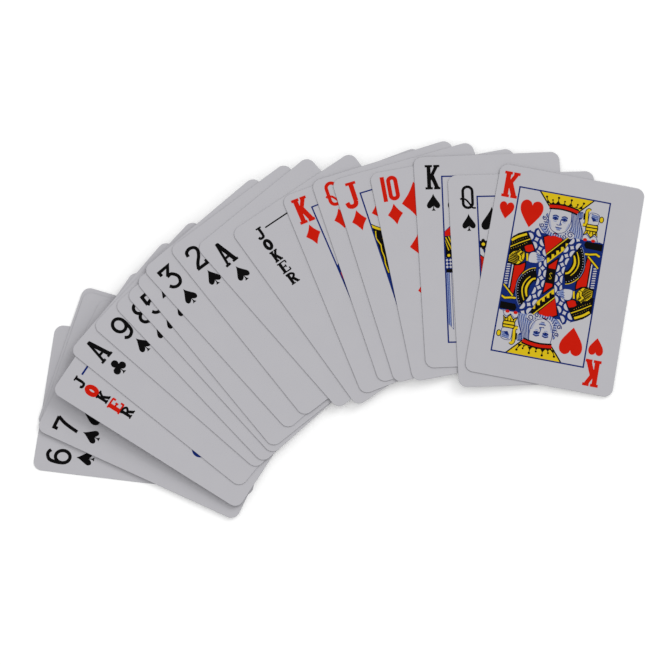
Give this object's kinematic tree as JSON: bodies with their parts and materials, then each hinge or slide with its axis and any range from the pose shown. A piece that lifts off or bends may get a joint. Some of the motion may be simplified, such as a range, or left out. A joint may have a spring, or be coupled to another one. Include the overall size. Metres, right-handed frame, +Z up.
{
  "type": "playing card deck",
  "caption": "Face-up spread of playing cards in an arc, each a thin round-cornered card that turns on the cards below it, so that the spread squares up into a pack.",
  "frame": {"origin": "on the table, under the middle of the spread's outline seen from above", "axes": "+Z up from the table, +X along the spread to its top card, +Y across it towards the cards' upper ends"},
  "size_m": [0.2446, 0.155, 0.0058],
  "materials": {
    "card_stock": "satin"
  },
  "bodies": {
    "six_of_spades": {"six_of_spades": "card_stock"},
    "ten_of_spades": {"ten_of_spades": "card_stock"},
    "jack_of_spades": {"jack_of_spades": "card_stock"},
    "seven_of_spades": {"seven_of_spades": "card_stock"},
    "joker_colour": {"joker_colour": "card_stock"},
    "ace_of_clubs": {"ace_of_clubs": "card_stock"},
    "nine_of_spades": {"nine_of_spades": "card_stock"},
    "eight_of_spades": {"eight_of_spades": "card_stock"},
    "five_of_spades": {"five_of_spades": "card_stock"},
    "four_of_spades": {"four_of_spades": "card_stock"},
    "three_of_spades": {"three_of_spades": "card_stock"},
    "two_of_spades": {"two_of_spades": "card_stock"},
    "ace_of_spades": {"ace_of_spades": "card_stock"},
    "joker_black": {"joker_black": "card_stock"},
    "king_of_diamonds": {"king_of_diamonds": "card_stock"},
    "queen_of_diamonds": {"queen_of_diamonds": "card_stock"},
    "jack_of_diamonds": {"jack_of_diamonds": "card_stock"},
    "ten_of_diamonds": {"ten_of_diamonds": "card_stock"},
    "king_of_spades": {"king_of_spades": "card_stock"},
    "queen_of_spades": {"queen_of_spades": "card_stock"},
    "king_of_hearts": {"king_of_hearts": "card_stock"}
  },
  "joints": [
    {"name": "ten_of_spades_turn", "type": "hinge", "parent": "six_of_spades", "child": "ten_of_spades", "pos_m": [-0.01889, -0.05475, 0.0003], "axis": [0, 0, 1], "range_deg": [0, 10]},
    {"name": "jack_of_spades_turn", "type": "hinge", "parent": "six_of_spades", "child": "jack_of_spades", "pos_m": [-0.03007, -0.0586, 0.0006], "axis": [0, 0, 1], "range_deg": [0, 10]},
    {"name": "seven_of_spades_turn", "type": "hinge", "parent": "six_of_spades", "child": "seven_of_spades", "pos_m": [-0.07081, -0.05302, 0.0009], "axis": [0, 0, 1], "range_deg": [0, 17.5]},
    {"name": "joker_colour_turn", "type": "hinge", "parent": "six_of_spades", "child": "joker_colour", "pos_m": [-0.05086, -0.0591, 0.0026], "axis": [0.0427, 0, 0.9991], "range_deg": [0, 25]},
    {"name": "ace_of_clubs_turn", "type": "hinge", "parent": "six_of_spades", "child": "ace_of_clubs", "pos_m": [-0.03286, -0.0591, 0.00213], "axis": [0.0427, 0, 0.9991], "range_deg": [0, 31.5]},
    {"name": "nine_of_spades_turn", "type": "hinge", "parent": "six_of_spades", "child": "nine_of_spades", "pos_m": [-0.01807, -0.06632, 0.0018], "axis": [0.0427, 0, 0.9991], "range_deg": [0, 34]},
    {"name": "eight_of_spades_turn", "type": "hinge", "parent": "six_of_spades", "child": "eight_of_spades", "pos_m": [-0.01587, -0.06822, 0.002], "axis": [0.0427, 0, 0.9991], "range_deg": [0, 39.5]},
    {"name": "five_of_spades_turn", "type": "hinge", "parent": "six_of_spades", "child": "five_of_spades", "pos_m": [-0.00999, -0.07124, 0.00205], "axis": [0.0427, 0, 0.9991], "range_deg": [0, 40.5]},
    {"name": "four_of_spades_turn", "type": "hinge", "parent": "six_of_spades", "child": "four_of_spades", "pos_m": [-0.00814, -0.06942, 0.00227], "axis": [0.0427, 0, 0.9991], "range_deg": [0, 43.5]},
    {"name": "three_of_spades_turn", "type": "hinge", "parent": "six_of_spades", "child": "three_of_spades", "pos_m": [0.00604, -0.07421, 0.00197], "axis": [0.0427, 0, 0.9991], "range_deg": [0, 41]},
    {"name": "two_of_spades_turn", "type": "hinge", "parent": "six_of_spades", "child": "two_of_spades", "pos_m": [0.01251, -0.07772, 0.00199], "axis": [0.0427, 0, 0.9991], "range_deg": [0, 44.5]},
    {"name": "ace_of_spades_turn", "type": "hinge", "parent": "six_of_spades", "child": "ace_of_spades", "pos_m": [0.02611, -0.0957, 0.00171], "axis": [0.0427, 0, 0.9991], "range_deg": [0, 42]},
    {"name": "joker_black_turn", "type": "hinge", "parent": "six_of_spades", "child": "joker_black", "pos_m": [0.02543, -0.09793, 0.00204], "axis": [0.0427, 0, 0.9991], "range_deg": [0, 47.5]},
    {"name": "king_of_diamonds_turn", "type": "hinge", "parent": "six_of_spades", "child": "king_of_diamonds", "pos_m": [0.02029, -0.08549, 0.00256], "axis": [0.0427, 0, 0.9991], "range_deg": [0, 61]},
    {"name": "queen_of_diamonds_turn", "type": "hinge", "parent": "six_of_spades", "child": "queen_of_diamonds", "pos_m": [0.02525, -0.08609, 0.00265], "axis": [0.0427, 0, 0.9991], "range_deg": [0, 64.5]},
    {"name": "jack_of_diamonds_turn", "type": "hinge", "parent": "six_of_spades", "child": "jack_of_diamonds", "pos_m": [0.02726, -0.08976, 0.00286], "axis": [0.0427, 0, 0.9991], "range_deg": [0, 66]},
    {"name": "ten_of_diamonds_turn", "type": "hinge", "parent": "six_of_spades", "child": "ten_of_diamonds", "pos_m": [0.02801, -0.09015, 0.00313], "axis": [0.0427, 0, 0.9991], "range_deg": [0, 71.5]},
    {"name": "king_of_spades_turn", "type": "hinge", "parent": "six_of_spades", "child": "king_of_spades", "pos_m": [0.02935, -0.08407, 0.00337], "axis": [0.0427, 0, 0.9991], "range_deg": [0, 80]},
    {"name": "queen_of_spades_turn", "type": "hinge", "parent": "six_of_spades", "child": "queen_of_spades", "pos_m": [0.03106, -0.09533, 0.0036], "axis": [0.0427, 0, 0.9991], "range_deg": [0, 80.5]},
    {"name": "king_of_hearts_turn", "type": "hinge", "parent": "six_of_spades", "child": "king_of_hearts", "pos_m": [0.03015, -0.083, 0.00394], "axis": [0.0427, 0, 0.9991], "range_deg": [0, 93.5]}
  ]
}
